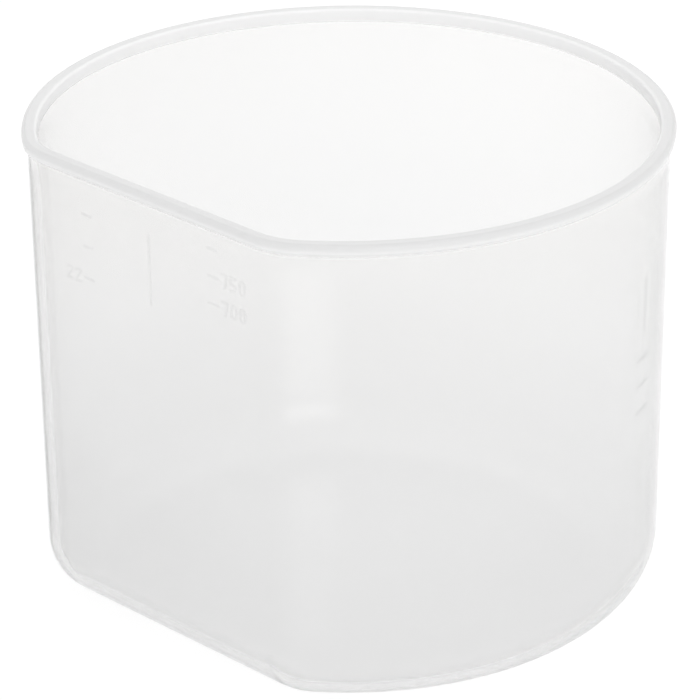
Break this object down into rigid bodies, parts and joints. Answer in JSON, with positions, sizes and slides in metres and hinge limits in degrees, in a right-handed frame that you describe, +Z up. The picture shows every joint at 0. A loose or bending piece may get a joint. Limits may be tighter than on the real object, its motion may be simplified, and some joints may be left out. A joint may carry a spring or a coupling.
{
  "type": "hair colour mixing bowl",
  "caption": "Deep D-shaped mixing bowl of translucent plastic, with a thick rounded rim, a rounded base edge and a raised measuring scale on its flat side.",
  "frame": {"origin": "under the middle of the bounding box, on the plane that the bowl stands on", "axes": "+Z up out of the mouth, -Y out of the flat side, +X to the right of someone facing the flat side"},
  "size_m": [0.119, 0.1102, 0.092],
  "materials": {
    "wall_plastic": "translucent natural polypropylene, fine satin",
    "rim_plastic": "translucent natural polypropylene, smooth satin, denser where it is thick",
    "mark_plastic": "the same polypropylene in low relief, fine satin"
  },
  "bodies": {
    "root": {"rim_bead": "rim_plastic", "curved_wall": "wall_plastic", "flat_wall": "wall_plastic", "left_corner_wall": "wall_plastic", "right_corner_wall": "wall_plastic", "base_edge": "wall_plastic", "floor_panel": "wall_plastic", "scale_line": "mark_plastic", "ml_ticks": "mark_plastic", "ml_numerals": "mark_plastic", "oz_ticks": "mark_plastic", "oz_numerals": "mark_plastic", "side_marks": "mark_plastic"}
  },
  "joints": []
}
